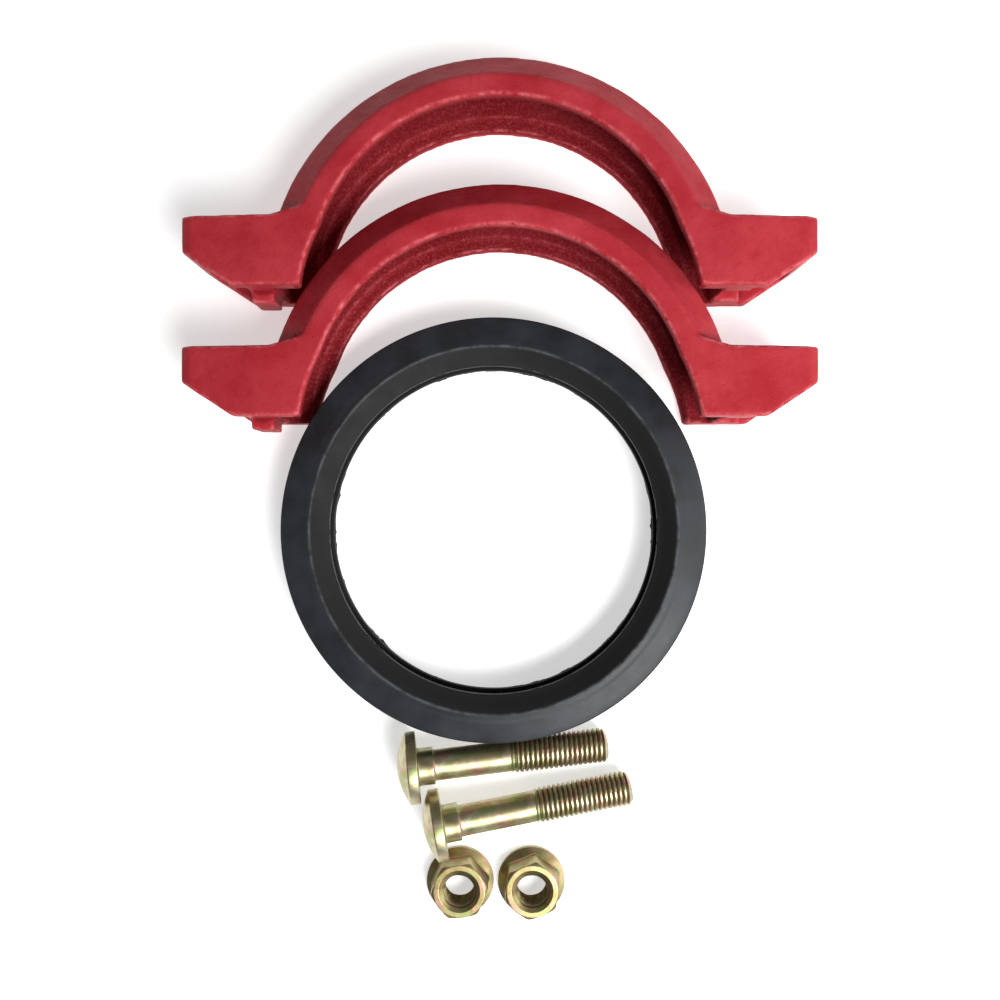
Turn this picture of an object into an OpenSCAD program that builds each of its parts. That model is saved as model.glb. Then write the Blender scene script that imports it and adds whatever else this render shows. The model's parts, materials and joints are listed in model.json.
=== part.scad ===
// Grooved-pipe coupling for 168.3 mm (6 inch) pipe, laid out as a kit on a bench.
// Two identical half housings lie on their side faces, one nested behind the other. The rubber
// gasket lies flat with its far side in the mouth of the front housing, and the two track bolts
// and two flanged nuts are in front of it. +X is right, +Y is away, +Z is up, the bench is z = 0.

/* [Housing] */
// Width of a housing along the pipe
housing_w = 48; // [47:0.5:50]
// Inner radius of the keys, which sit in the pipe's grooves
key_r = 83; // [82.5:0.25:83.5]
// Outer radius of the arch
arch_r = 105; // [104:0.5:107]
// Radius of the channel that holds the gasket
channel_r = 98.6; // [98.5:0.1:99.5]
// Height of the channel between its side flanks
channel_h = 28; // [27.5:0.5:29]
// Distance from the pipe's centre line to the tip of a bolt lug
lug_reach = 140; // [138:1:144]
// Depth of a bolt lug behind the split face
lug_depth = 31; // [30:0.5:32]
// Distance from the pipe's centre line to a bolt's
bolt_x = 122.5; // [122:0.5:123]
// Thickness of the plate that a bolt head or nut pulls on
seat_t = 9; // [8:0.5:10]

/* [Gasket] */
// Outer radius of the gasket
gasket_r = 98; // [97.5:0.1:98]
// Radius of the crease between the outer band and the lip
crease_r = 84; // [83:0.5:85]
// Radius of the lip's opening
lip_r = 75.5; // [74:0.5:77]
// Width of the gasket across its creases
gasket_w = 27; // [25:0.5:28]
// Width of the gasket at its outer rim
rim_w = 19; // [18:0.5:20]

/* [Bolts and nuts] */
// Radius over the thread's crests
thread_r = 7.94; // [7.8:0.02:8]
// Thread pitch
pitch = 2.309; // [2:0.001:2.4]
// Length of a bolt under its head
bolt_len = 88.9; // [86:0.1:92]
// Radius of a bolt's round head
head_r = 16.5; // [16:0.1:17]
// Height of a bolt's round head
head_h = 9.5; // [9:0.1:10.5]
// Size of a nut's hexagon across its flats
nut_flats = 24; // [23.5:0.1:25]
// Height of a nut
nut_h = 16; // [14:0.5:17]
// Radius of a nut's flange
flange_r = 16; // [15.5:0.1:16.4]

/* [Layout] */
// Distance from the front housing's split face to the rear housing's
nest_gap = 57; // [56.5:0.5:60]
// Distance of the gasket's centre in front of the front housing's split face
gasket_out = 50; // [48:0.5:56]
// Turn of the rear bolt from square to the pipe
rear_yaw = 5.5; // [5:0.1:6.5]
// Turn of the front bolt from square to the pipe
front_yaw = 9.5; // [8.5:0.1:9.8]

/* [Hidden] */
$fn = 96;

paint_red = [0.65, 0.13, 0.17];
rubber_black = [0.08, 0.09, 0.10];
zinc_gold = [0.72, 0.66, 0.42];

// A cut runs this far past the face that it opens
past = 1;

// Housing section
mid_z = housing_w / 2;
channel_low = mid_z - channel_h / 2;
key_face_r = key_r + 9;
key_step_h = 3;
key_step_r = key_r + 3.5;
flank_r = key_step_r + 2;
shoulder_h = 12;
// The keys open out a little towards the split face
relief_r = 88.7;
relief_y = -14.25;

// Bolt lug
lug_root_x = 86;
lug_root_depth = lug_depth + 4.5;
lug_back_x = 100.5;
pad_x = 117;
lug_tip_depth = 15;
// The lug's side faces draw in towards its tip, a little more over the last stretch
lug_draft = 2.4;
tip_draft = 5;
tip_draft_x = 135.5;
lug_wall = 9;
pocket_in_x = 112.5;
pocket_out_x = 133.5;
slot_w = 17.5;
slot_l = 20;
tongue_in_x = 101.5;
tongue_out_x = 112;
tongue_h = 18;
tongue_len = 5;
groove_play = 0.8;

// Gasket section
lip_edge_h = 20;
lip_tip_in_h = 11;
cavity_r = 88;
cavity_h = 13;
lip_edge_r = lip_r + 2;
lip_under_r = lip_r + 3.5;

// The gasket lies a little to the left of the housings' middle
gasket_x = -3;

// Bolt
root_r = thread_r - 0.61 * pitch;
shank_r = root_r + 0.55;
thread_turns = 20;
thread_len = thread_turns * pitch;
neck_len = 7.5;
neck_r = 8;
neck_l = 20;
dome_h = 5;
dome_r = (head_r * head_r + dome_h * dome_h) / (2 * dome_h);
tail_chamfer = 1.6;
bolt_full = head_h + bolt_len;
// A bolt lies on the rim of its head and the end of its thread
tail_rest = bolt_full - tail_chamfer;
bolt_droop = atan((head_r - thread_r) / (tail_rest - head_h));
head_z = head_r * cos(bolt_droop) + head_h * sin(bolt_droop);

// The rear bolt lies against the near rim of the gasket
touch_gap = 0.4;
rear_line = gasket_r + thread_r + touch_gap;
rear_head_x = -47.5;
front_head_x = -35.5;
head_stagger = 27;
nut_out = 30;
left_nut_x = -19;
right_nut_x = 15;
left_nut_turn = 8;
right_nut_turn = 22;

// How far each row lies in front of the front housing's split face
rear_head_out = gasket_out + rear_line * cos(rear_yaw)
    + (gasket_x + rear_line * sin(rear_yaw) - rear_head_x) * tan(rear_yaw);
front_head_out = rear_head_out + head_stagger;
nuts_out = front_head_out + nut_out;

// The origin is in the middle of the whole kit
front_y = (nuts_out + flange_r - nest_gap - arch_r) / 2;
gasket_y = front_y - gasket_out;

// Nut
flange_h = 2.4;
flange_slope = 1.8;
hex_r = nut_flats / sqrt(3);
nut_tip_r = nut_flats / 2 + 0.2;
nut_root_r = thread_r + 0.1;
nut_crest_r = root_r + 0.45;
nut_turns = 6;

// Half section of the arch: radius across, height up
function arch_section() =
    let (lower = [[key_r, 0], [key_face_r, 0], [arch_r, shoulder_h]],
         flank = [[channel_r, channel_low], [flank_r, channel_low],
                  [key_step_r, channel_low - key_step_h], [key_r, channel_low - key_step_h]])
    concat(lower, mirrored(lower), backwards(mirrored_same(flank)), flank);

function mirrored(points) =
    [for (i = [len(points) - 1:-1:0]) [points[i][0], housing_w - points[i][1]]];

function mirrored_same(points) = [for (p = points) [p[0], housing_w - p[1]]];

function backwards(points) = [for (i = [len(points) - 1:-1:0]) points[i]];

module arch() {
    rotate_extrude(angle = 180) polygon(arch_section());
}

// Outline of the right lug from above
module lug_outline() {
    polygon([[lug_root_x, 0], [pad_x, 0], [lug_reach, lug_tip_depth],
             [lug_reach, lug_depth], [lug_back_x, lug_depth], [lug_root_x, lug_root_depth]]);
}

// Outline of the right lug along the pipe: reach across, height up
function lug_profile() =
    let (lower = [[lug_root_x, 0], [arch_r, 0], [tip_draft_x, lug_draft], [lug_reach, tip_draft]])
    concat(lower, mirrored(lower));

module lug_body() {
    intersection() {
        linear_extrude(housing_w) lug_outline();
        translate([0, lug_root_depth + past, 0]) rotate([90, 0, 0])
            linear_extrude(lug_root_depth + 2 * past) polygon(lug_profile());
    }
}

// Right lug: two side walls and a tip under the plate that the bolt pulls on
module lug() {
    difference() {
        lug_body();
        translate([pocket_in_x, -past, lug_wall])
            cube([pocket_out_x - pocket_in_x, lug_depth - seat_t + past, housing_w - 2 * lug_wall]);
        translate([bolt_x, lug_depth + past, mid_z]) rotate([90, 0, 0])
            linear_extrude(lug_depth + 2 * past) oval(slot_l, slot_w);
    }
}

// A bolt's neck and the slot that keeps it from turning
module oval(length, width) {
    square([length - width, width], center = true);
    for (side = [-1, 1]) translate([side * (length - width) / 2, 0]) circle(d = width);
}

// Block that stands out of the left pad and keeps the two housings in line
module tongue() {
    translate([-tongue_out_x, -tongue_len, mid_z - tongue_h / 2])
        cube([tongue_out_x - tongue_in_x, tongue_len + past, tongue_h]);
}

// Room for the other housing's tongue in the right pad
module tongue_groove() {
    translate([tongue_in_x - groove_play, -past, mid_z - tongue_h / 2 - groove_play])
        cube([tongue_out_x - tongue_in_x + 2 * groove_play, tongue_len + past + groove_play,
              tongue_h + 2 * groove_play]);
}

// Space inside the arch that the lugs' roots must not fill
module arch_inside() {
    translate([0, 0, -past]) cylinder(r = key_face_r, h = housing_w + 2 * past);
    translate([0, 0, channel_low]) cylinder(r = channel_r, h = channel_h);
}

module housing() {
    color(paint_red) difference() {
        union() {
            arch();
            difference() {
                union() {
                    lug();
                    mirror([1, 0, 0]) lug();
                }
                arch_inside();
            }
            tongue();
        }
        tongue_groove();
        translate([0, relief_y, -past]) cylinder(r = relief_r, h = housing_w + 2 * past);
    }
}

module rear_housing() {
    translate([0, front_y + nest_gap, 0]) housing();
}

module front_housing() {
    translate([0, front_y, 0]) housing();
}

// One side of the gasket's C section, from the rim round the lip to the hollow
function gasket_side(side) =
    [[gasket_r, side * rim_w / 2], [crease_r, side * gasket_w / 2],
     [lip_edge_r, side * lip_edge_h / 2], [lip_r, side * lip_edge_h / 2 - side],
     [lip_r, side * lip_tip_in_h / 2], [lip_under_r, side * lip_tip_in_h / 2],
     [cavity_r, side * cavity_h / 2]];

module gasket() {
    color(rubber_black)
        translate([gasket_x, gasket_y, gasket_w / 2])
            rotate_extrude() polygon(concat(gasket_side(1), backwards(gasket_side(-1))));
}

// Thread outline from its first root up: radius across, height up
function thread_points(turns, base_r, peak_r) =
    [for (turn = [0:turns - 1], half = [0, 1])
        [half == 0 ? base_r : peak_r, (turn + half / 2) * pitch]];

module thread() {
    rotate_extrude()
        polygon(concat([[0, 0]], thread_points(thread_turns, root_r, thread_r),
                       [[root_r, thread_len], [0, thread_len]]));
}

// Track bolt along +Z, from the crown of its head
module bolt() {
    color(zinc_gold) {
        intersection() {
            cylinder(r = head_r, h = head_h);
            translate([0, 0, dome_r]) sphere(r = dome_r);
        }
        translate([0, 0, head_h - past]) linear_extrude(neck_len + past) oval(neck_l, 2 * neck_r);
        translate([0, 0, head_h]) cylinder(r = shank_r, h = bolt_len - thread_len);
        intersection() {
            translate([0, 0, bolt_full - thread_len]) thread();
            tail_end();
        }
    }
}

// Everything behind the chamfer on the end of the thread
module tail_end() {
    cylinder(r = head_r, h = bolt_full - tail_chamfer);
    translate([0, 0, bolt_full - tail_chamfer])
        cylinder(r1 = thread_r, r2 = thread_r - tail_chamfer, h = tail_chamfer);
}

// Lays a bolt on the bench with the crown of its head at x, y
module lay_bolt(x, y, yaw) {
    translate([x, y, head_z]) rotate([0, 0, yaw]) rotate([0, 90 + bolt_droop, 0]) bolt();
}

module rear_bolt() {
    lay_bolt(rear_head_x, front_y - rear_head_out, rear_yaw);
}

module front_bolt() {
    lay_bolt(front_head_x, front_y - front_head_out, front_yaw);
}

module nut_thread() {
    cut_h = nut_turns * pitch;
    translate([0, 0, (nut_h - cut_h) / 2])
        rotate_extrude()
            polygon(concat([[0, 0]], thread_points(nut_turns, nut_crest_r, nut_root_r),
                           [[nut_crest_r, cut_h], [0, cut_h]]));
}

// Hexagon whose corners are chamfered at the top
module nut_hex() {
    intersection() {
        cylinder(r = hex_r, h = nut_h, $fn = 6);
        union() {
            cylinder(r = hex_r, h = nut_h - (hex_r - nut_tip_r));
            translate([0, 0, nut_h - (hex_r - nut_tip_r)])
                cylinder(r1 = hex_r, r2 = nut_tip_r, h = hex_r - nut_tip_r);
        }
    }
}

module nut() {
    color(zinc_gold) difference() {
        union() {
            nut_hex();
            cylinder(r = flange_r, h = flange_h);
            translate([0, 0, flange_h])
                cylinder(r1 = flange_r, r2 = nut_flats / 2, h = flange_slope);
        }
        translate([0, 0, -past]) cylinder(r = nut_crest_r, h = nut_h + 2 * past);
        nut_thread();
    }
}

module left_nut() {
    translate([left_nut_x, front_y - nuts_out, 0]) rotate([0, 0, left_nut_turn]) nut();
}

module right_nut() {
    translate([right_nut_x, front_y - nuts_out, 0]) rotate([0, 0, right_nut_turn]) nut();
}

rear_housing();
front_housing();
gasket();
rear_bolt();
front_bolt();
left_nut();
right_nut();
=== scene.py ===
import json
import math

import bpy
import numpy as np
from mathutils import Matrix, Vector


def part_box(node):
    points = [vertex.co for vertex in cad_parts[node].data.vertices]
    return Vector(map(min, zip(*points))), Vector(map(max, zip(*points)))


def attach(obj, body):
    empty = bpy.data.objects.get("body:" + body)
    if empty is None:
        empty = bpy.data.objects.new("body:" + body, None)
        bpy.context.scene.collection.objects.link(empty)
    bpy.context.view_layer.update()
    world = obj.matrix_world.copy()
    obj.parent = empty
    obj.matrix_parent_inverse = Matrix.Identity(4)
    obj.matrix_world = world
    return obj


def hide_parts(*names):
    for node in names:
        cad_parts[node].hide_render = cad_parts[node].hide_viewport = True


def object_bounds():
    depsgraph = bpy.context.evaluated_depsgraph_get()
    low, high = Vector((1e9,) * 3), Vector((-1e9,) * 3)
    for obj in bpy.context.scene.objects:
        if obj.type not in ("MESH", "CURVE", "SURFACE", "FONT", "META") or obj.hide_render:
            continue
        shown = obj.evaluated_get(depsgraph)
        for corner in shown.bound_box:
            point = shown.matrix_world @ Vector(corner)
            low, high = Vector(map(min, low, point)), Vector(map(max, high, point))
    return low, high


# Looks for a grooved-pipe coupling laid out as a kit: two red cast housings, a rubber gasket, two
# track bolts and two flanged nuts with yellow zinc plate. Metres, in the CAD's own frame.

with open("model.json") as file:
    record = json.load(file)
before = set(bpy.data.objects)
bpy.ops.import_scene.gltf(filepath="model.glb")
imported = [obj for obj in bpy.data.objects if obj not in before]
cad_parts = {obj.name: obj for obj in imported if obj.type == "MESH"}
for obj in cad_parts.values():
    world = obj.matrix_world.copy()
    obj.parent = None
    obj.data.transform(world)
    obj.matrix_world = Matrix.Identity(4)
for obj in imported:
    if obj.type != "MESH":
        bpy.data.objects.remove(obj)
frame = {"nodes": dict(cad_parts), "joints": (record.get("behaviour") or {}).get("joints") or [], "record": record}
cad_lo, cad_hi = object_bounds()
joints = {joint["name"]: joint for joint in frame["joints"]}

MM = 0.001
SHARP = math.radians(50)


# ---------------------------------------------------------------- meshes

def place(obj, node, material):
    """Gives a piece its material, and puts it in the place of its CAD node."""
    obj.data.materials.clear()
    obj.data.materials.append(material)
    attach(obj, node)
    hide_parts(node)


def object_from(name, mesh):
    obj = bpy.data.objects.new(name, mesh)
    bpy.context.scene.collection.objects.link(obj)
    return obj


def store(mesh, name, values):
    """Keeps one number for each point of a mesh, for its material to read."""
    attribute = mesh.attributes.new(name, "FLOAT", "POINT")
    attribute.data.foreach_set("value", np.asarray(values, np.float32).ravel())


def settle(mesh, at=None):
    """Moves a mesh to its place. Its material's patterns keep to the coordinates it had before."""
    own = mesh.attributes.new("own", "FLOAT_VECTOR", "POINT")
    own.data.foreach_set("vector", read(mesh.vertices, "co", np.float32, 3).ravel())
    if at is not None:
        mesh.transform(at)
    return mesh


def read(collection, key, kind, width):
    """One property of every item of a mesh collection, a row for each."""
    flat = np.empty(len(collection) * width, kind)
    collection.foreach_get(key, flat)
    return flat.reshape(-1, width)


def ring_mesh(name, rings, loop):
    """A skin over rings of points. A loop joins its last ring to its first; if not, both are capped."""
    count, around = rings.shape[:2]
    points = rings.reshape(-1, 3)
    this = np.arange(around)
    following = (this + 1) % around
    faces = []
    for k in range(count if loop else count - 1):
        low, high = k * around, (k + 1) % count * around
        faces += np.stack([low + this, low + following, high + following, high + this], 1).tolist()
    if not loop:
        centres = rings[[0, -1]].mean(axis=1)
        points = np.vstack([points, centres])
        first, last, top = len(points) - 2, len(points) - 1, (count - 1) * around
        faces += [[first, int(b), int(a)] for a, b in zip(this, following)]
        faces += [[last, int(top + a), int(top + b)] for a, b in zip(this, following)]
    mesh = bpy.data.meshes.new(name)
    mesh.from_pydata(points.tolist(), [], faces)
    mesh.shade_smooth()
    mesh.set_sharp_from_angle(angle=SHARP)
    return mesh


def rounded(corners, steps=5):
    """A closed outline through corners of (across, up, radius), each rounded to its radius."""
    outline = []
    for i, (x, y, radius) in enumerate(corners):
        here = Vector((x, y))
        before = (Vector(corners[i - 1][:2]) - here)
        after = (Vector(corners[(i + 1) % len(corners)][:2]) - here)
        half = before.angle(after) / 2
        reach = min(radius / math.tan(half), before.length * 0.45, after.length * 0.45)
        start, end = here + before.normalized() * reach, here + after.normalized() * reach
        for k in range(steps + 1):
            t = k / steps
            outline.append(start * (1 - t) ** 2 + here * 2 * t * (1 - t) + end * t * t)
    return np.array([[p.x, p.y] for p in outline])


def resampled(outline, step):
    """The closed outline with points a step apart at most."""
    points = []
    for a, b in zip(outline, np.roll(outline, -1, axis=0)):
        parts = max(1, math.ceil(np.linalg.norm(b - a) / step))
        points += [a + (b - a) * k / parts for k in range(parts)]
    return np.array(points)


# ---------------------------------------------------------------- materials

class Finish:
    """A material's nodes, made with short calls."""

    def __init__(self, name):
        self.material = bpy.data.materials.new(name)
        self.material.use_nodes = True
        self.tree = self.material.node_tree
        self.shader = self.tree.nodes["Principled BSDF"]
        self.spot = self.node("ShaderNodeAttribute", attribute_name="own").outputs["Vector"]

    def node(self, kind, inputs=None, **settings):
        made = self.tree.nodes.new(kind)
        for key, value in settings.items():
            setattr(made, key, value)
        for key, value in (inputs or {}).items():
            self.feed(made.inputs[key], value)
        return made

    def feed(self, socket, value):
        if isinstance(value, bpy.types.NodeSocket):
            self.tree.links.new(value, socket)
        else:
            socket.default_value = value

    def set(self, **sockets):
        for key, value in sockets.items():
            self.feed(self.shader.inputs[key.replace("_", " ").title().replace("Ior", "IOR")], value)

    def stretched(self, scale):
        """The piece's own coordinates, stretched along an axis."""
        return self.node("ShaderNodeMapping", {"Vector": self.spot, "Scale": scale}).outputs[0]

    def noise(self, size, detail=3.0, roughness=0.55, at=None):
        """Noise from 0 to 1 in patches of that size."""
        return self.node("ShaderNodeTexNoise", {
            "Vector": at or self.spot, "Scale": 1 / size, "Detail": detail,
            "Roughness": roughness}).outputs["Fac"]

    def cells(self, size, at=None):
        """Distance from scattered points, 0 at each."""
        return self.node("ShaderNodeTexVoronoi", {
            "Vector": at or self.spot, "Scale": 1 / size}).outputs["Distance"]

    def stored(self, name):
        return self.node("ShaderNodeAttribute", attribute_name=name).outputs["Fac"]

    def span(self, value, low, high, to_low=0.0, to_high=1.0):
        """The value taken from one range to another, held inside it."""
        return self.node("ShaderNodeMapRange", {
            "Value": value, "From Min": low, "From Max": high,
            "To Min": to_low, "To Max": to_high}).outputs[0]

    def calculated(self, operation, a, b):
        made = self.node("ShaderNodeMath", operation=operation)
        self.feed(made.inputs[0], a)
        self.feed(made.inputs[1], b)
        return made.outputs[0]

    def plus(self, a, b):
        return self.calculated("ADD", a, b)

    def minus(self, a, b):
        return self.calculated("SUBTRACT", a, b)

    def times(self, a, b):
        return self.calculated("MULTIPLY", a, b)

    def blend(self, share, first, second):
        made = self.node("ShaderNodeMix", data_type="RGBA")
        self.feed(made.inputs["Factor"], share)
        for socket, value in zip(made.inputs[6:8], (first, second)):
            self.feed(socket, value if isinstance(value, bpy.types.NodeSocket) else (*value, 1))
        return made.outputs[2]

    def bump(self, height, depth, strength=1.0, under=None):
        inputs = {"Height": height, "Distance": depth, "Strength": strength}
        if under is not None:
            inputs["Normal"] = under
        return self.node("ShaderNodeBump", inputs).outputs[0]


PAINT_DEEP, PAINT_BRIGHT = (0.42, 0.024, 0.034), (0.52, 0.046, 0.060)
PAINT_MOTTLE, PAINT_CORNER_SHADE = (0.36, 0.010, 0.020), (0.17, 0.005, 0.009)
PAINT_ARCH_SHADE, PAINT_GRAIN_HIGHLIGHT = (0.13, 0.004, 0.006), (0.48, 0.085, 0.10)
PAINT_RUBBED_AND_HIGHLIGHT, BARE_IRON = (0.80, 0.20, 0.22), (0.045, 0.018, 0.014)


def paint_finish():
    """Semi-gloss red dip paint over a sand casting: pits and grain, edges worn thin with a painted highlight,
    painted shade in corners and inside the arch, and a painted highlight on the grain there.
    """
    f = Finish("housing_paint")
    edge, inside = f.stored("edge"), f.stored("inside")
    patches = f.noise(26 * MM, 4)
    colour = f.blend(f.span(patches, 0.35, 0.65), PAINT_DEEP, PAINT_BRIGHT)
    colour = f.blend(f.span(f.noise(4 * MM, 5), 0.5, 0.75, 0, 0.35), colour, PAINT_MOTTLE)
    # Painted shade: the paint darkens in the corners, where the skin turns inward
    corner = f.span(edge, -0.05, -0.5)
    colour = f.blend(f.times(corner, 0.7), colour, PAINT_CORNER_SHADE)
    # Painted shade: the walls inside the arch are darkened
    colour = f.blend(f.times(inside, 0.72), colour, PAINT_ARCH_SHADE)
    # Lighter speckle on the coarse grain inside the arch: grain, with a painted highlight on its peaks
    speckle = f.span(f.noise(1.2 * MM, 5, 0.7), 0.48, 0.66, 0, 0.42)
    colour = f.blend(f.times(inside, speckle), colour, PAINT_GRAIN_HIGHLIGHT)
    crest = f.span(edge, 0.28, 0.6)
    # Lighter crests: paint worn thin on the edges, and a painted highlight along them
    rubbed_and_highlight = f.times(crest, f.span(f.noise(5 * MM, 6, 0.7), 0.42, 0.62))
    colour = f.blend(f.times(rubbed_and_highlight, 0.6), colour, PAINT_RUBBED_AND_HIGHLIGHT)
    chip = f.times(crest, f.span(f.noise(3.2 * MM, 6, 0.75), 0.655, 0.68))
    colour = f.blend(chip, colour, BARE_IRON)
    pits = f.span(f.cells(7 * MM), 0.05, 0.11)
    grain = f.noise(1.3 * MM, 4, 0.6)
    lumps = f.noise(3.2 * MM, 3)
    rough_skin = f.span(inside, 0, 1, 0.45, 1.0)
    normal = f.bump(lumps, 0.8 * MM, f.span(inside, 0, 1, 0.16, 0.8))
    normal = f.bump(grain, 0.55 * MM, rough_skin, normal)
    normal = f.bump(pits, 0.3 * MM, 0.5, normal)
    sheen = f.span(f.noise(9 * MM, 4), 0.3, 0.7, 0.36, 0.5)
    dull = f.plus(sheen, f.times(inside, 0.45))
    f.set(base_color=colour, normal=normal, roughness=dull, specular_ior_level=0.07)
    return f.material


RUBBER_BLACK, RUBBER_BLOOM_AND_SHEEN = (0.0018, 0.0020, 0.0023), (0.028, 0.032, 0.039)
RUBBER_DUST, RUBBER_EDGE_HIGHLIGHT = (0.05, 0.052, 0.056), (0.045, 0.048, 0.052)
RUBBER_CREASE_HIGHLIGHT = (0.085, 0.092, 0.102)


def rubber_finish():
    """Moulded black rubber: dull lips, a flank with a grey bloom made lighter as a painted sheen, dust, scuffs,
    and painted highlights on the edges and along the crease.
    """
    f = Finish("gasket_rubber")
    flank = f.stored("flank")
    # Grey bloom on the flank, made lighter than the lips as a painted sheen
    bloom_and_sheen = f.times(f.span(f.noise(17 * MM, 5, 0.6), 0.3, 0.65, 0.4, 1.0), flank)
    colour = f.blend(bloom_and_sheen, RUBBER_BLACK, RUBBER_BLOOM_AND_SHEEN)
    dust = f.span(f.noise(1.3 * MM, 5, 0.7), 0.66, 0.74, 0, 0.5)
    colour = f.blend(dust, colour, RUBBER_DUST)
    # Painted highlight: the rounded edges are lightened
    crest = f.span(f.stored("edge"), 0.05, 0.3, 0, 0.5)
    colour = f.blend(crest, colour, RUBBER_EDGE_HIGHLIGHT)
    # Painted highlight: a patchy light line along the crease between flank and lip
    crease_highlight = f.span(f.noise(8 * MM, 4, 0.7), 0.38, 0.58, 0.15, 0.9)
    colour = f.blend(f.times(f.stored("crease"), crease_highlight), colour, RUBBER_CREASE_HIGHLIGHT)
    scuffs = f.noise(1.0 * MM, 4, 0.6, f.stretched((0.35, 1.0, 1.0)))
    normal = f.bump(f.noise(6 * MM, 3), 0.3 * MM, 0.12)
    normal = f.bump(scuffs, 0.1 * MM, 0.22, normal)
    dry = f.span(f.noise(11 * MM, 4), 0.3, 0.7, 0.64, 0.72)
    dull = f.minus(dry, f.times(flank, 0.25))
    f.set(base_color=colour, normal=normal, roughness=dull, specular_ior_level=0.4)
    return f.material


ZINC_PINK, ZINC_GREEN = (0.56, 0.33, 0.25), (0.33, 0.40, 0.15)
ZINC_STREAK, ZINC_ROOT_SHADE, ZINC_SPECK = (0.30, 0.25, 0.13), (0.11, 0.082, 0.040), (0.20, 0.17, 0.11)


def zinc_finish(name, streak_scale, gold, pale):
    """Yellow-passivated zinc plate: gold with pink and green clouds, fine streaks, and painted shade in the roots.
    """
    f = Finish(name)
    clouds = f.noise(9 * MM, 3, 0.6)
    colour = f.blend(f.span(clouds, 0.40, 0.62), gold, pale)
    colour = f.blend(f.span(f.noise(6.5 * MM, 2), 0.47, 0.64, 0, 0.85), colour, ZINC_PINK)
    green = f.noise(7.5 * MM, 2, 0.5, f.stretched((1.0, 1.3, 0.8)))
    colour = f.blend(f.span(green, 0.50, 0.66, 0, 0.75), colour, ZINC_GREEN)
    streaks = f.noise(1.1 * MM, 4, 0.65, f.stretched(streak_scale))
    colour = f.blend(f.span(streaks, 0.5, 0.75, 0, 0.35), colour, ZINC_STREAK)
    # Painted shade in the thread roots, the neck's corners and the nut's bore
    root = f.stored("root")
    colour = f.blend(f.times(root, 0.7), colour, ZINC_ROOT_SHADE)
    specks = f.span(f.noise(0.8 * MM, 4, 0.7), 0.68, 0.76, 0, 0.6)
    colour = f.blend(specks, colour, ZINC_SPECK)
    normal = f.bump(f.noise(1.6 * MM, 4), 0.08 * MM, 0.5)
    normal = f.bump(streaks, 0.05 * MM, 0.5, normal)
    dull = f.plus(f.span(f.noise(5 * MM, 4), 0.3, 0.7, 0.36, 0.48), f.span(root, 0, 1, 0, 0.2))
    f.set(base_color=colour, metallic=1.0, roughness=dull, normal=normal)
    return f.material


# ---------------------------------------------------------------- housings

VOXEL = 0.95 * MM
EDGE_PASSES, EDGE_FACTOR = 9, 0.5
SKIN_WAVE, SKIN_DEPTH = 14 * MM, 0.35 * MM
# Above the texture's usual peak, so the uneven skin sinks in and stays inside the CAD solid's box
SKIN_REST = 0.85
ARCH_R = 105 * MM
# Where the coarse skin and the painted shade inside the arch fade out: radius from the pipe's axis, and distance
# from the middle plane in the channel, or from a side face on the keys
CHANNEL_WALL, CHANNEL_HALF = (99.6 * MM, 100.6 * MM), (15 * MM, 16 * MM)
KEY_WALL, KEY_SIDE = (89 * MM, 91 * MM), (2 * MM, 4.5 * MM)


def mark_edges(mesh, scale, blur):
    """Stores how sharply the skin turns at each point: above 0 on edges, below 0 in corners."""
    spots = read(mesh.vertices, "co", np.float32, 3)
    normals = read(mesh.vertices, "normal", np.float32, 3)
    ends = read(mesh.edges, "vertices", np.int32, 2)
    ends = np.vstack([ends, ends[:, ::-1]])
    count = np.bincount(ends[:, 0], minlength=len(spots))

    def neighbours(values):
        return np.bincount(ends[:, 0], values[ends[:, 1]], len(spots)) / count

    middle = np.stack([neighbours(spots[:, k]) for k in range(3)], 1)
    turn = ((spots - middle) * normals).sum(1) / scale
    for _ in range(blur):
        turn = (turn + neighbours(turn)) / 2
    store(mesh, "edge", turn)


def cast_housing(node, waves, material):
    """The CAD housing with a casting's rounded edges and slightly uneven skin."""
    obj = object_from(node + "_casting", frame["nodes"][node].data.copy())
    skin = obj.modifiers.new("skin", "REMESH")
    skin.mode = "VOXEL"
    skin.voxel_size = VOXEL
    edges = obj.modifiers.new("edges", "SMOOTH")
    edges.factor = EDGE_FACTOR
    edges.iterations = EDGE_PASSES
    uneven = obj.modifiers.new("uneven", "DISPLACE")
    uneven.texture = waves
    uneven.texture_coords = "LOCAL"
    uneven.strength = SKIN_DEPTH
    uneven.mid_level = SKIN_REST
    depsgraph = bpy.context.evaluated_depsgraph_get()
    mesh = bpy.data.meshes.new_from_object(obj.evaluated_get(depsgraph))
    obj.modifiers.clear()
    obj.data = mesh
    mesh.shade_smooth()
    mark_edges(mesh, scale=0.12 * MM, blur=2)
    spots = read(mesh.vertices, "co", np.float32, 3)
    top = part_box(node)[1]
    half_w = top.z / 2
    from_pipe = np.hypot(spots[:, 0], spots[:, 1] - top.y + ARCH_R)
    from_middle = np.abs(spots[:, 2] - half_w)
    out, into = (1.0, 0.0), (0.0, 1.0)
    channel = np.interp(from_pipe, CHANNEL_WALL, out) * np.interp(from_middle, CHANNEL_HALF, out)
    keys = np.interp(from_pipe, KEY_WALL, out) * np.interp(half_w - from_middle, KEY_SIDE, into)
    store(mesh, "inside", np.maximum(channel, keys))
    settle(mesh)
    place(obj, node, material)


waves = bpy.data.textures.new("skin_waves", "CLOUDS")
waves.noise_scale = SKIN_WAVE
paint = paint_finish()
for housing in ("rear_housing", "front_housing"):
    cast_housing(housing, waves, paint)


# ---------------------------------------------------------------- gasket

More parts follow.
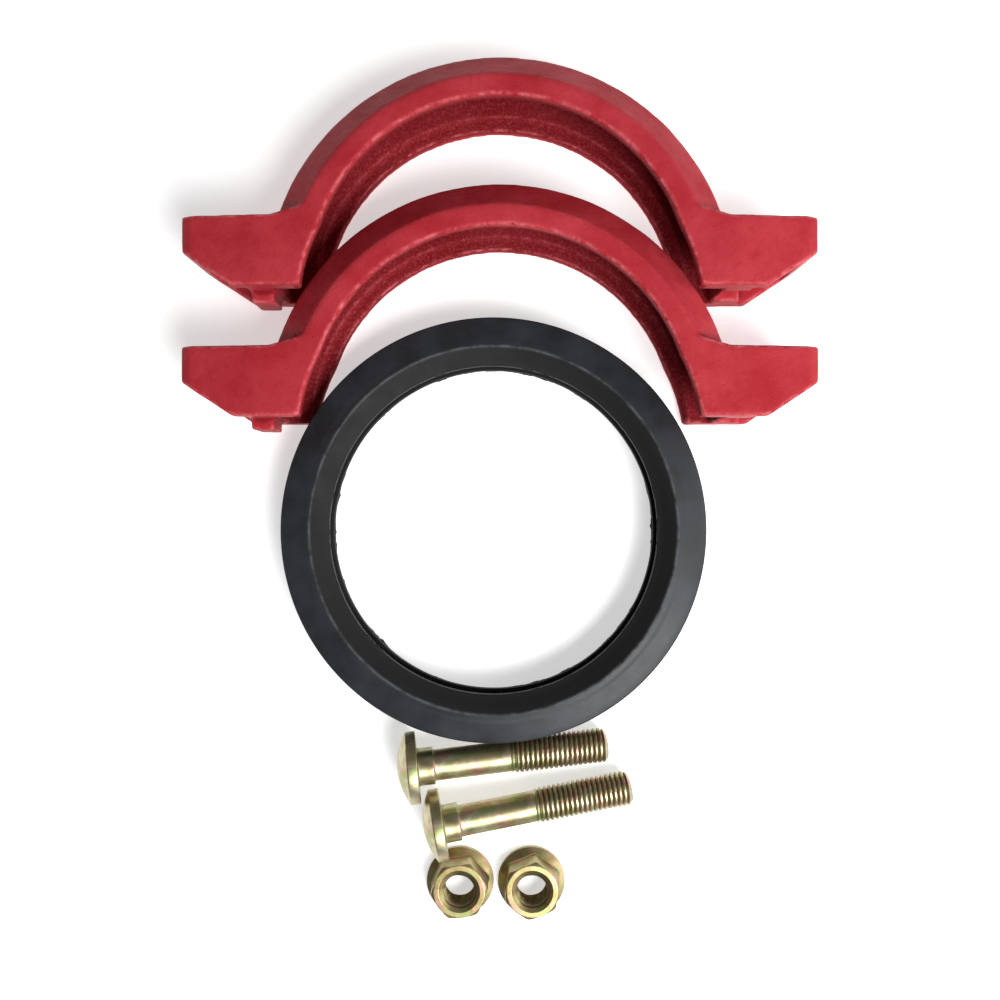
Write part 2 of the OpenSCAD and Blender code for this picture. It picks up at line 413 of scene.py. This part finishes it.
GASKET_AROUND = 320
GASKET_STEP = 0.9 * MM
CREASE_R, CAVITY_R = 84 * MM, 88 * MM
RIM_HALF, LIP_HALF, TIP_HALF, CAVITY_HALF = 9.5 * MM, 10 * MM, 5.5 * MM, 6.5 * MM
LIP_SLOPE, LIP_BACK = 2.2 * MM, 3.5 * MM
FLASH_SEED, FLASH_NIBS, FLASH_DEPTH = 7, 40, 0.9 * MM
PARTING_HALF, PARTING_PROUD = 0.25 * MM, 0.15 * MM
FLANK_WARP = 0.12 * MM
CREASE_HALF = 0.45 * MM


def gasket_half(outer_r, half_w, lip_r, side):
    """Corners of one half of the C section, from the rim round the lip to the hollow.

    Each is its radius from the axis, its height from the middle and how much it is rounded.
    """
    return [(outer_r, side * RIM_HALF, 1.2 * MM), (CREASE_R, side * half_w, 0.7 * MM),
            (lip_r + LIP_SLOPE, side * LIP_HALF, 0.9 * MM), (lip_r, side * (LIP_HALF - MM), 0.8 * MM),
            (lip_r, side * TIP_HALF, 0.5 * MM), (lip_r + LIP_BACK, side * TIP_HALF, 0.8 * MM),
            (CAVITY_R, side * CAVITY_HALF, 1.5 * MM)]


def gasket():
    """The moulded ring: its C section swept round, with torn flash and a parting line."""
    lo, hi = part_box("gasket")
    middle = (lo + hi) / 2
    outer_r, half_w = (hi.x - lo.x) / 2, (hi.z - lo.z) / 2
    lip_r = next(m["dims"]["r_mm"] for m in frame["record"]["mounts"] if m["kind"] == "bore") * MM
    upper = gasket_half(outer_r, half_w, lip_r, 1)
    lower = gasket_half(outer_r, half_w, lip_r, -1)
    section = resampled(rounded(upper + lower[::-1]), GASKET_STEP)
    angle = np.linspace(0, 2 * math.pi, GASKET_AROUND, endpoint=False)
    across = np.repeat(section[:, :1], GASKET_AROUND, 1)
    up = np.repeat(section[:, 1:], GASKET_AROUND, 1)

    # Trimmed flash stands in from the lip's edge in short torn stretches
    rng = np.random.default_rng(FLASH_SEED)
    nibs = zip(rng.uniform(0, 2 * math.pi, FLASH_NIBS), rng.uniform(0.01, 0.05, FLASH_NIBS))
    torn = sum(0.5 * np.exp(-((angle - at + math.pi) % (2 * math.pi) - math.pi) ** 2 / (2 * wide**2))
               for at, wide in nibs)
    torn = torn * (0.6 + 0.4 * np.sin(angle * 97) * np.sin(angle * 41 + 1))
    on_tip = np.exp(-((np.abs(up) - (LIP_HALF - MM)) / (0.5 * MM)) ** 2) * (across < lip_r + 0.4 * MM)
    across = across - FLASH_DEPTH * on_tip * torn
    # The mould's parting line reaches the full radius, and the rim beside it stays under it
    parting = np.exp(-(up / PARTING_HALF) ** 2) * (across > outer_r - MM)
    across = across - PARTING_PROUD * (across > outer_r - 2 * MM) + PARTING_PROUD * parting
    up = up + FLANK_WARP * np.sin(3 * angle + 0.6) * np.sign(up) * (np.abs(up) < half_w - MM)

    rings = np.stack([across * np.cos(angle), across * np.sin(angle), up], 2)
    mesh = ring_mesh("gasket_ring", rings[::-1], loop=True)
    mark_edges(mesh, scale=0.25 * MM, blur=1)
    spots = read(mesh.vertices, "co", np.float32, 3)
    from_axis = np.hypot(spots[:, 0], spots[:, 1])
    store(mesh, "flank", np.interp(from_axis, (CREASE_R, CREASE_R + MM), (0.0, 1.0)))
    store(mesh, "crease", np.exp(-((from_axis - CREASE_R) / CREASE_HALF) ** 2))
    obj = object_from("gasket_ring", settle(mesh, Matrix.Translation(middle)))
    place(obj, "gasket", rubber_finish())


gasket()


# ---------------------------------------------------------------- bolts

HEAD_R, HEAD_H, DOME_H = 16.5 * MM, 9.5 * MM, 5 * MM
HEAD_SOFT, RIM_SOFT = 0.9 * MM, 0.6 * MM
NECK_LEN, NECK_R, NECK_EXTRA = 7.5 * MM, 8 * MM, 2 * MM
NECK_FILLET, NECK_SOFT = 0.7 * MM, 0.5 * MM
BOLT_FULL = 98.4 * MM
CREST_R, PITCH, THREAD_TURNS = 7.94 * MM, 2.309 * MM, 20
THREAD_FLATS, THREAD_FLANK, RUN_IN_TURNS = 0.06, 0.56, 1.6
ROOT_R = CREST_R - 0.61 * PITCH
SHANK_R = ROOT_R + 0.55 * MM
TAIL_CHAMFER = 1.6 * MM
BOLT_AROUND = 112
THREAD_RINGS = 12


class Turned:
    """A skin built ring by ring up the Z axis. Each ring says how deep in a root its points lie."""

    def __init__(self, around):
        self.angle = np.linspace(0, 2 * math.pi, around, endpoint=False)
        self.level = np.ones(around)
        self.rings, self.roots = [], []

    def ring(self, radius, up, root=0.0):
        across = radius * self.level
        self.rings.append(np.stack([
            across * np.cos(self.angle), across * np.sin(self.angle), up * self.level], 1))
        self.roots.append(root * self.level)

    def mesh(self, name, loop):
        mesh = ring_mesh(name, np.array(self.rings), loop)
        caps = [] if loop else [[0, 0]]
        store(mesh, "root", np.concatenate(self.roots + caps))
        return mesh


def thread_shape(up, angle):
    """Height of a right-hand thread from root 0 to crest 1, with small flats on both."""
    phase = (up / PITCH - angle / (2 * math.pi)) % 1
    return np.clip((1 - np.abs(2 * phase - 1) - THREAD_FLATS) / THREAD_FLANK, 0, 1)


def bolt_mesh():
    """A track bolt along +Z from the crown of its head, with its oval neck's long way along X."""
    bolt = Turned(BOLT_AROUND)
    angle, ring = bolt.angle, bolt.ring
    c, s = np.abs(np.cos(angle)), np.abs(np.sin(angle))
    round_part = NECK_EXTRA * c + np.sqrt(NECK_R**2 - (NECK_EXTRA * s) ** 2)
    oval = np.where(round_part * c >= NECK_EXTRA, round_part, NECK_R / np.maximum(s, 0.1))

    # The head: a dome, its rounded rim, and the flat under it
    dome_r = (HEAD_R**2 + DOME_H**2) / (2 * DOME_H)
    dome_edge = HEAD_R - HEAD_SOFT
    for share in np.linspace(0.03, 1, 26):
        radius = dome_edge * share
        ring(radius, dome_r - math.sqrt(dome_r**2 - radius**2))
    rim_low = dome_r - math.sqrt(dome_r**2 - dome_edge**2)
    for turn in np.linspace(0.15, 1, 6) * math.pi / 2:
        ring(dome_edge + HEAD_SOFT * math.sin(turn), rim_low + HEAD_SOFT * (1 - math.cos(turn)))
    for turn in np.linspace(0, 1, 5) * math.pi / 2:
        ring(HEAD_R - RIM_SOFT * (1 - math.cos(turn)), HEAD_H - RIM_SOFT * (1 - math.sin(turn)))
    for share in np.linspace(0.1, 0.9, 5):
        ring((HEAD_R - RIM_SOFT) * (1 - share) + oval * share, HEAD_H)

    # The oval neck, filleted to the head, with a soft end
    for turn in np.linspace(0, 1, 5) * math.pi / 2:
        ring(oval + NECK_FILLET * (1 - math.sin(turn)),
             HEAD_H + NECK_FILLET * (1 - math.cos(turn)), 0.3)
    neck_end = HEAD_H + NECK_LEN
    for up in np.linspace(HEAD_H + 1.2 * MM, neck_end - NECK_SOFT, 8):
        ring(oval, up)
    for turn in np.linspace(0.2, 1, 4) * math.pi / 2:
        ring(oval - NECK_SOFT * (1 - math.cos(turn)), neck_end - NECK_SOFT * (1 - math.sin(turn)))
    ring(SHANK_R + 0.25 * MM, neck_end + 0.05 * MM, 0.35)

    # The shank, the rolled thread that runs in from it, and the chamfered end
    thread_start = BOLT_FULL - THREAD_TURNS * PITCH
    for up in np.linspace(neck_end + 0.4 * MM, thread_start - 0.3 * MM, 24):
        ring(SHANK_R, up)
    for k in range(THREAD_TURNS * THREAD_RINGS + 1):
        up = thread_start + k * PITCH / THREAD_RINGS
        shape = thread_shape(up - thread_start, angle)
        radius = ROOT_R + (CREST_R - ROOT_R) * shape
        fade = min(1.0, k / (RUN_IN_TURNS * THREAD_RINGS))
        radius = SHANK_R + (radius - SHANK_R) * fade
        chamfer = CREST_R - max(0.0, up - (BOLT_FULL - TAIL_CHAMFER))
        # The thread's roots are marked for the plate's painted shade
        ring(np.minimum(radius, chamfer), up, (1 - shape) ** 1.5 * fade)
    for share in (0.9, 0.6, 0.3):
        ring((CREST_R - TAIL_CHAMFER) * share, BOLT_FULL - 0.25 * MM * (1 - share))
    return bolt.mesh("track_bolt", loop=False)


def lay_bolt(node, mesh, material):
    """Lays a bolt where its CAD body lies: on the rim of its head and the end of its thread."""
    along_bench = Vector(joints[node + "_slide"]["axis"])
    along_bench *= math.copysign(1, along_bench.x)
    side = Vector((0, 0, 1)).cross(along_bench)
    tail = BOLT_FULL - TAIL_CHAMFER
    droop = math.atan((HEAD_R - CREST_R) / (tail - HEAD_H))
    axis = along_bench * math.cos(droop) - Vector((0, 0, math.sin(droop)))
    spots = read(frame["nodes"][node].data.vertices, "co", np.float32, 3)
    first = float((spots @ np.array(axis)).min())
    sides = spots @ np.array(side)
    crown_up = HEAD_R * math.cos(droop) + HEAD_H * math.sin(droop)
    reach = (first + crown_up * math.sin(droop)) / math.cos(droop)
    crown = along_bench * reach + side * float(sides.min() + sides.max()) / 2
    crown.z = crown_up
    facing = Matrix((axis.cross(side), side, axis)).transposed()
    obj = object_from(node + "_forging", settle(mesh, Matrix.Translation(crown) @ facing.to_4x4()))
    place(obj, node, material)


bolt_plate = zinc_finish("bolt_zinc", streak_scale=(1.0, 1.0, 0.16),
                         gold=(0.42, 0.37, 0.19), pale=(0.62, 0.58, 0.41))
for piece in ("rear_bolt", "front_bolt"):
    lay_bolt(piece, bolt_mesh(), bolt_plate)


# ---------------------------------------------------------------- nuts

NUT_H, FLATS = 16 * MM, 24 * MM
FLANGE_R, FLANGE_H, FLANGE_SLOPE = 16 * MM, 2.4 * MM, 1.8 * MM
TIP_R = FLATS / 2 + 0.2 * MM
NUT_ROOT_R, NUT_CREST_R = CREST_R + 0.1 * MM, ROOT_R + 0.45 * MM
MOUTH_R, MOUTH_H = 9.8 * MM, 1.7 * MM
HEX_SOFT, FLANGE_SOFT, TOP_SOFT = 0.35 * MM, 0.5 * MM, 0.25 * MM
CONE_SLOPE = 1.3
NUT_AROUND = 192
NUT_DEGREES = {"left_nut": 8, "right_nut": 22}


def softly_larger(a, b, soft):
    """The larger of two lengths, with the step between them filleted."""
    gap = np.clip(0.5 + (a - b) / (2 * soft), 0, 1)
    return b + (a - b) * gap + soft * gap * (1 - gap)


def softly_smaller(a, b, soft):
    return -softly_larger(-a, -b, soft)


def nut_mesh():
    """A flanged nut on its flange, with a corner of its hexagon along X."""
    nut = Turned(NUT_AROUND)
    angle, level, ring = nut.angle, nut.level, nut.ring
    sixth = math.pi / 3
    hexagon = FLATS / 2 / np.cos(angle % sixth - sixth / 2)
    hexagon = softly_smaller(hexagon, level * (FLATS / math.sqrt(3) - HEX_SOFT), HEX_SOFT)

    # The underside and the rounded rim of the flange
    for share in np.linspace(0, 1, 6):
        ring(MOUTH_R + (FLANGE_R - FLANGE_SOFT - MOUTH_R) * share, 0)
    for turn in np.linspace(0.2, 1, 5) * math.pi / 2:
        ring(FLANGE_R - FLANGE_SOFT * (1 - math.sin(turn)), FLANGE_SOFT * (1 - math.cos(turn)))

    # The flange's slope and the hexagon, whose corners a cone cuts at the top
    for up in np.concatenate([np.linspace(0.8 * MM, FLANGE_H, 4),
                              np.linspace(FLANGE_H + 0.15 * MM, NUT_H - TOP_SOFT, 46)]):
        flange = FLANGE_R - max(0.0, up - FLANGE_H) * (FLANGE_R - FLATS / 2) / FLANGE_SLOPE
        cone = TIP_R + (NUT_H - up) * CONE_SLOPE
        body = softly_smaller(hexagon, level * cone, TOP_SOFT)
        ring(softly_larger(body, level * flange, FLANGE_SOFT) if up > FLANGE_H else flange, up)
    for turn in np.linspace(0.3, 1, 4) * math.pi / 2:
        ring(TIP_R - 0.05 * MM - HEX_SOFT * (1 - math.cos(turn)),
             NUT_H - TOP_SOFT * (1 - math.sin(turn)))
    for share in np.linspace(0.25, 1, 4):
        ring((TIP_R - 0.4 * MM) * (1 - share) + MOUTH_R * share, NUT_H)

    # The threaded bore, down from the top, with a countersunk mouth at both ends
    thread_rings = math.ceil(NUT_H / PITCH * THREAD_RINGS)
    for k in range(thread_rings + 1):
        up = NUT_H * (1 - k / thread_rings)
        shape = 1 - thread_shape(up, angle)
        bore = NUT_ROOT_R - (NUT_ROOT_R - NUT_CREST_R) * shape
        ends = MOUTH_R - min(up, NUT_H - up) * (MOUTH_R - NUT_CREST_R) / MOUTH_H
        open_bore = np.maximum(bore, ends)
        # Deeper in the bore, the thread's roots are marked for the plate's painted shade
        ring(open_bore, up, (bore > ends) * (0.25 + 0.6 * (1 - shape)))
    return nut.mesh("flange_nut", loop=True)


nut_plate = zinc_finish("nut_zinc", streak_scale=(1.0, 1.0, 0.3),
                        gold=(0.31, 0.24, 0.095), pale=(0.44, 0.37, 0.18))
for piece, degrees in NUT_DEGREES.items():
    turn = Matrix.Rotation(math.radians(degrees), 4, "Z")
    spot = Matrix.Translation(joints[piece + "_turn"]["pos_m"]) @ turn
    obj = object_from(piece + "_forging", settle(nut_mesh(), spot))
    place(obj, piece, nut_plate)


# ---------------------------------------------------------------- bench, light and camera

BENCH_SIZE = 12.0
BENCH_WHITE, BENCH_GLOW = (0.88, 0.885, 0.885, 1), 0.6
WORLD_BRIGHTNESS = 0.16
CAMERA_HEIGHT, CAMERA_LENS, CAMERA_BACK = 0.46, 34.3, 0.005


def bench():
    """A pale floor that glows a little, so that it stays pale in the shade."""
    half = BENCH_SIZE / 2
    mesh = bpy.data.meshes.new("bench")
    mesh.from_pydata([(-half, -half, 0), (half, -half, 0), (half, half, 0), (-half, half, 0)],
                     [], [(0, 1, 2, 3)])
    floor = object_from("bench", mesh)
    finish = Finish("bench_white")
    finish.set(base_color=BENCH_WHITE, roughness=0.7, emission_color=BENCH_WHITE,
               emission_strength=BENCH_GLOW)
    mesh.materials.append(finish.material)


def soft_box(name, spot, width, height, watts):
    light = bpy.data.lights.new(name, "AREA")
    light.shape = "RECTANGLE"
    light.size, light.size_y, light.energy = width, height, watts
    lamp = bpy.data.objects.new(name, light)
    bpy.context.scene.collection.objects.link(lamp)
    lamp.location = spot
    lamp.rotation_euler = (-Vector(spot)).to_track_quat("-Z", "Y").to_euler()


def surroundings(brightness):
    world = bpy.data.worlds.new("room")
    world.use_nodes = True
    sky = world.node_tree.nodes["Background"]
    sky.inputs["Color"].default_value = (1.0, 1.0, 1.0, 1)
    sky.inputs["Strength"].default_value = brightness
    bpy.context.scene.world = world


def camera(foot, height, lens, aim):
    data = bpy.data.cameras.new("camera")
    data.lens = lens
    obj = bpy.data.objects.new("camera", data)
    bpy.context.scene.collection.objects.link(obj)
    obj.location = Vector((*foot, height))
    obj.rotation_mode = "QUATERNION"
    obj.rotation_quaternion = (Vector(aim) - obj.location).to_track_quat("-Z", "Y")
    data.clip_start = 0.01
    bpy.context.scene.camera = obj


bench()
surroundings(WORLD_BRIGHTNESS)
soft_box("key_window", spot=(0.40, -0.46, 0.90), width=0.55, height=0.45, watts=12.5)
soft_box("side_window", spot=(0.72, 0.02, 0.42), width=0.4, height=0.3, watts=1.5)
middle = (cad_lo + cad_hi) / 2
camera(foot=(middle.x, middle.y - CAMERA_BACK), height=CAMERA_HEIGHT, lens=CAMERA_LENS,
       aim=(middle.x, middle.y, 0.0))
bpy.context.scene.view_settings.view_transform = "Standard"
